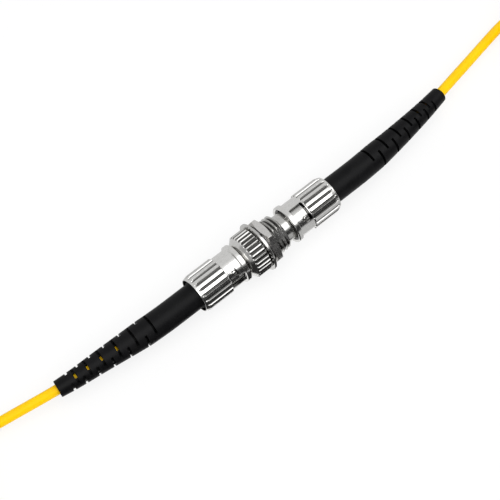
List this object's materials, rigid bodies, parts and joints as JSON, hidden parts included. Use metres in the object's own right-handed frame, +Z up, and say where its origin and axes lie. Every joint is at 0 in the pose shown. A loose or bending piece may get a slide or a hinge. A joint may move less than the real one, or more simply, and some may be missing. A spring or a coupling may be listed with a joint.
{
  "type": "st fibre adapter with two bayonet plugs",
  "caption": "Metal bulkhead adapter for bayonet fibre plugs, with a plug, slotted boot and yellow cord locked on to each end.",
  "frame": {"origin": "on the surface that the flange stands on, straight under the plane where the two ferrules meet on the fibre axis", "axes": "+X along the fibre axis towards the threaded side of the adapter, +Z up"},
  "size_m": [0.2857, 0.0216, 0.0125],
  "materials": {
    "bright_nickel": "bright nickel plating",
    "spring_steel": "plain spring steel",
    "white_ceramic": "polished ceramic",
    "black_rubber": "satin moulded",
    "yellow_jacket": "satin extruded",
    "buffer_coating": "smooth coating"
  },
  "bodies": {
    "adapter_and_plugs": {"adapter_threaded_body": "bright_nickel", "adapter_knurled_body": "bright_nickel", "alignment_sleeve": "white_ceramic", "left_plug_body": "bright_nickel", "left_ferrule": "white_ceramic", "left_fibre_buffer": "buffer_coating", "left_retaining_clip": "spring_steel", "left_crimp_sleeve": "bright_nickel", "left_coupling_spring": "spring_steel", "left_boot": "black_rubber", "left_cord": "yellow_jacket", "left_cord_hank": "yellow_jacket", "right_plug_body": "bright_nickel", "right_ferrule": "white_ceramic", "right_fibre_buffer": "buffer_coating", "right_retaining_clip": "spring_steel", "right_crimp_sleeve": "bright_nickel", "right_coupling_spring": "spring_steel", "right_boot": "black_rubber", "right_cord": "yellow_jacket", "right_cord_hank": "yellow_jacket"},
    "panel_washer": {"panel_lock_washer": "spring_steel"},
    "panel_nut": {"panel_hex_nut": "bright_nickel"},
    "left_push_washer": {"left_thrust_washer": "spring_steel"},
    "left_nut": {"left_coupling_nut": "bright_nickel"},
    "right_push_washer": {"right_thrust_washer": "spring_steel"},
    "right_nut": {"right_coupling_nut": "bright_nickel"}
  },
  "joints": [
    {"name": "panel_washer_slide", "type": "slide", "parent": "adapter_and_plugs", "child": "panel_washer", "axis": [1, 0, 0], "range_m": [0, 0.003]},
    {"name": "panel_nut_turn", "type": "hinge", "parent": "panel_washer", "child": "panel_nut", "pos_m": [0.0006, 0, 0.00625], "axis": [1, 0, 0], "range_deg": [0, 1080]},
    {"name": "left_nut_push", "type": "slide", "parent": "adapter_and_plugs", "child": "left_push_washer", "axis": [1, 0, 0], "range_m": [0, 0.0005], "stiffness_N_per_m": 800, "deforming": ["left_coupling_spring"]},
    {"name": "left_nut_turn", "type": "hinge", "parent": "left_push_washer", "child": "left_nut", "pos_m": [-0.0135, 0, 0.00625], "axis": [-1, 0, 0], "range_deg": [0, 40]},
    {"name": "right_nut_push", "type": "slide", "parent": "adapter_and_plugs", "child": "right_push_washer", "axis": [-1, 0, 0], "range_m": [0, 0.0005], "stiffness_N_per_m": 800, "deforming": ["right_coupling_spring"]},
    {"name": "right_nut_turn", "type": "hinge", "parent": "right_push_washer", "child": "right_nut", "pos_m": [0.0135, 0, 0.00625], "axis": [1, 0, 0], "range_deg": [0, 40]}
  ],
  "couplings": [
    {"joint": "panel_nut_turn", "follows": "panel_washer_slide", "rad_per_m": 6283}
  ]
}
